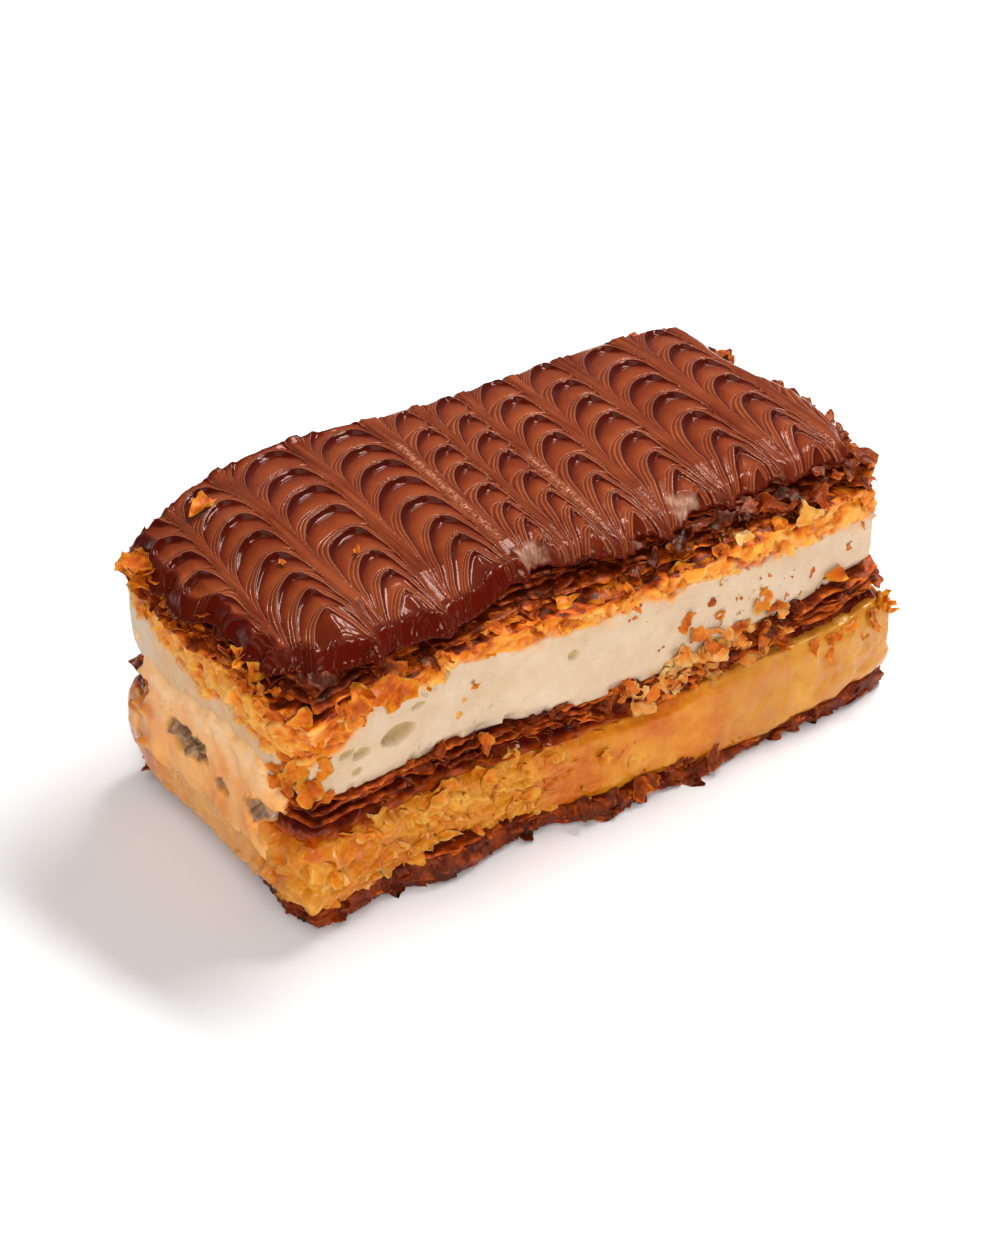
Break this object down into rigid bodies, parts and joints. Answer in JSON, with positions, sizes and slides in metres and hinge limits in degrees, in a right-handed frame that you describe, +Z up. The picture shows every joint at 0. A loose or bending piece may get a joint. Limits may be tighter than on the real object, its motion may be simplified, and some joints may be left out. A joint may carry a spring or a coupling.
{
  "type": "mille feuille slice",
  "caption": "Slice of layered puff pastry with custard, caramel and cream fillings under a feathered chocolate glaze.",
  "frame": {"origin": "middle of the slice's underside, on the surface it stands on", "axes": "+X along the slice, -Y out of the long side that shows, +Z up"},
  "size_m": [0.1364, 0.0728, 0.0573],
  "materials": {
    "pastry": "crisp browned flaky pastry, matt with a slight buttery sheen",
    "custard": "moist set custard, satin",
    "caramel": "dark sticky caramel, wet gloss",
    "cream": "airy set cream with small bubbles, matt",
    "glaze": "poured chocolate glaze, glossy"
  },
  "bodies": {
    "root": {"bottom_pastry": "pastry", "custard": "custard", "caramel": "caramel", "middle_pastry": "pastry", "cream": "cream", "top_pastry": "pastry", "glaze": "glaze"}
  },
  "joints": []
}
